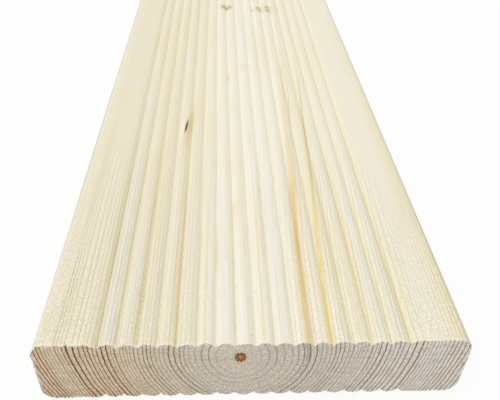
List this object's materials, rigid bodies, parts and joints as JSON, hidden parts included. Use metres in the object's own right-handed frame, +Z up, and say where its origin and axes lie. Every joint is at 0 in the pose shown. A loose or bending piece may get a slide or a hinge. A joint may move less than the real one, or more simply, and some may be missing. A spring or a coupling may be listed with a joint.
{
  "type": "timber decking board",
  "caption": "Long straight softwood plank for decking, with round reeds along both wide faces, flat margins, rounded edges and square sawn ends.",
  "frame": {"origin": "middle of the underside, at the middle of the length and of the width, level with the reeds' crests and the margins that the board rests on", "axes": "+X across the width, +Y along the length from the pictured end to the far end, +Z up through the thickness"},
  "size_m": [0.145, 2, 0.028],
  "materials": {
    "timber": "planed pale softwood, with rough sawn end grain"
  },
  "bodies": {
    "root": {"decking_board": "timber"}
  },
  "joints": []
}
